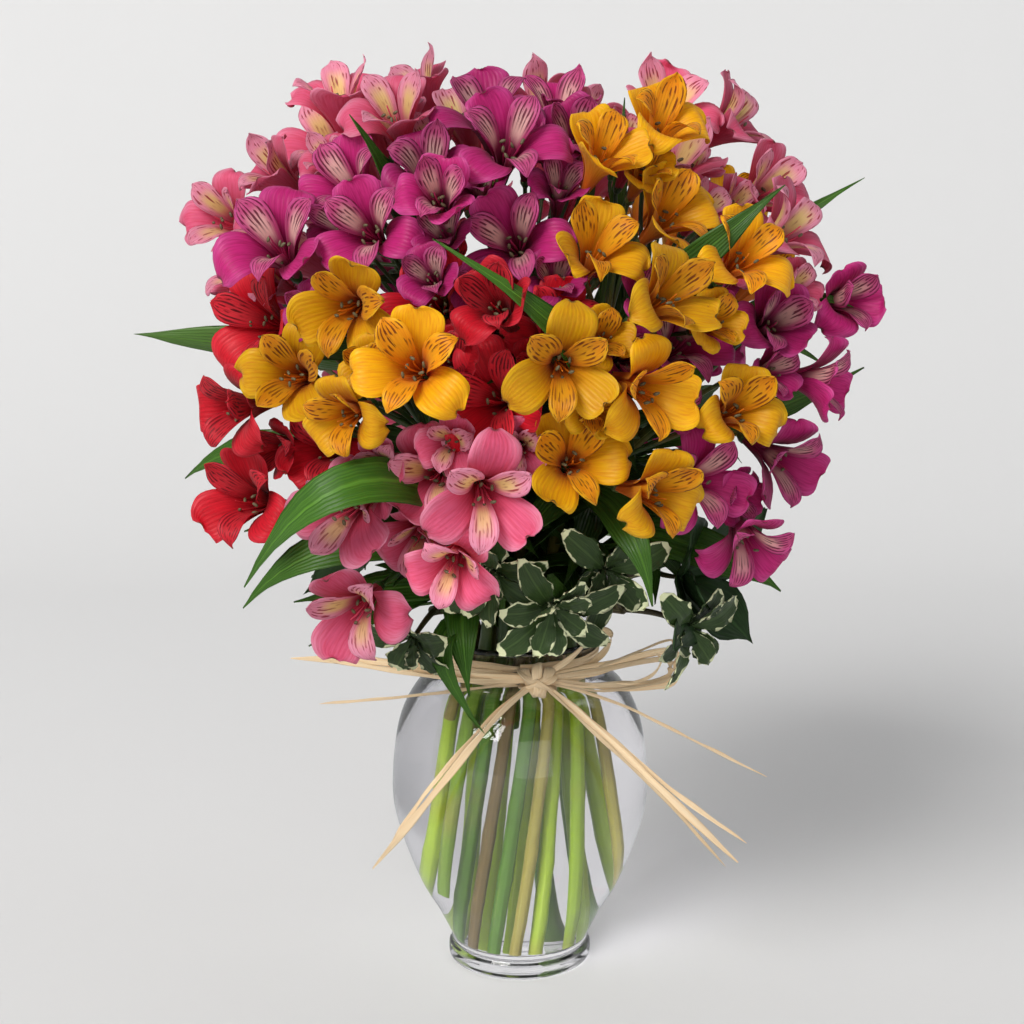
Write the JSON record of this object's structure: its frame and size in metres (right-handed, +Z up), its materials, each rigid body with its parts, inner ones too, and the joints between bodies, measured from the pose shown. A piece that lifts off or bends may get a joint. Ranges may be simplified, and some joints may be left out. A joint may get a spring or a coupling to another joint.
{
  "type": "alstroemeria bouquet in a glass vase",
  "caption": "Mixed alstroemeria bouquet with foliage, standing in a clear ginger-jar vase of water with a raffia bow; a free-standing table decoration.",
  "frame": {"origin": "centre of the vase's foot, on the surface it stands on", "axes": "+Z up, the bouquet's front faces -Y, +X to the right seen from the front"},
  "size_m": [0.3521, 0.3156, 0.463],
  "materials": {
    "glass": "clear blown glass, smooth, faint grey-lilac tint at the edges",
    "water": "clear still water",
    "raffia": "dry natural raffia, matte with fine lengthwise fibres",
    "stem_green": "fresh green stems and lance-shaped leaves, satin",
    "petal_pink": "satin pink tepals, yellow throats with dark dashes",
    "petal_magenta": "satin magenta tepals, pale streaked inner tepals",
    "petal_yellow": "satin golden yellow tepals with brown dashes",
    "petal_red": "satin red tepals with dark dashes",
    "leaf_variegated": "glossy green leaves with wavy cream edges",
    "leaf_dark": "dark green leathery leaves, semi-gloss"
  },
  "bodies": {
    "root": {"vase": "glass", "water": "water", "raffia": "raffia", "pink_top_stem": "stem_green", "pink_top_flowers": "petal_pink", "pink_left_stem": "stem_green", "pink_left_flowers": "petal_pink", "pink_right_stem": "stem_green", "pink_right_flowers": "petal_pink", "pink_low_stem": "stem_green", "pink_low_flowers": "petal_pink", "magenta_top_stem": "stem_green", "magenta_top_flowers": "petal_magenta", "magenta_left_stem": "stem_green", "magenta_left_flowers": "petal_magenta", "magenta_right_stem": "stem_green", "magenta_right_flowers": "petal_magenta", "magenta_low_stem": "stem_green", "magenta_low_flowers": "petal_magenta", "yellow_right_stem": "stem_green", "yellow_right_flowers": "petal_yellow", "yellow_left_stem": "stem_green", "yellow_left_flowers": "petal_yellow", "yellow_mid_stem": "stem_green", "yellow_mid_flowers": "petal_yellow", "red_left_stem": "stem_green", "red_left_flowers": "petal_red", "red_mid_stem": "stem_green", "red_mid_flowers": "petal_red", "pink_rear_top_stem": "stem_green", "pink_rear_top_flowers": "petal_pink", "magenta_rear_stem": "stem_green", "magenta_rear_flowers": "petal_magenta", "yellow_rear_stem": "stem_green", "yellow_rear_flowers": "petal_yellow", "red_rear_stem": "stem_green", "red_rear_flowers": "petal_red", "pink_rear_low_stem": "stem_green", "pink_rear_low_flowers": "petal_pink", "magenta_rear_low_stem": "stem_green", "magenta_rear_low_flowers": "petal_magenta", "pittosporum_front_sprig": "leaf_variegated", "pittosporum_right_sprig": "leaf_variegated", "pittosporum_left_sprig": "leaf_variegated", "broadleaf_right_sprig": "leaf_dark", "broadleaf_left_sprig": "leaf_dark", "broadleaf_rear_sprig": "leaf_dark"}
  },
  "joints": []
}
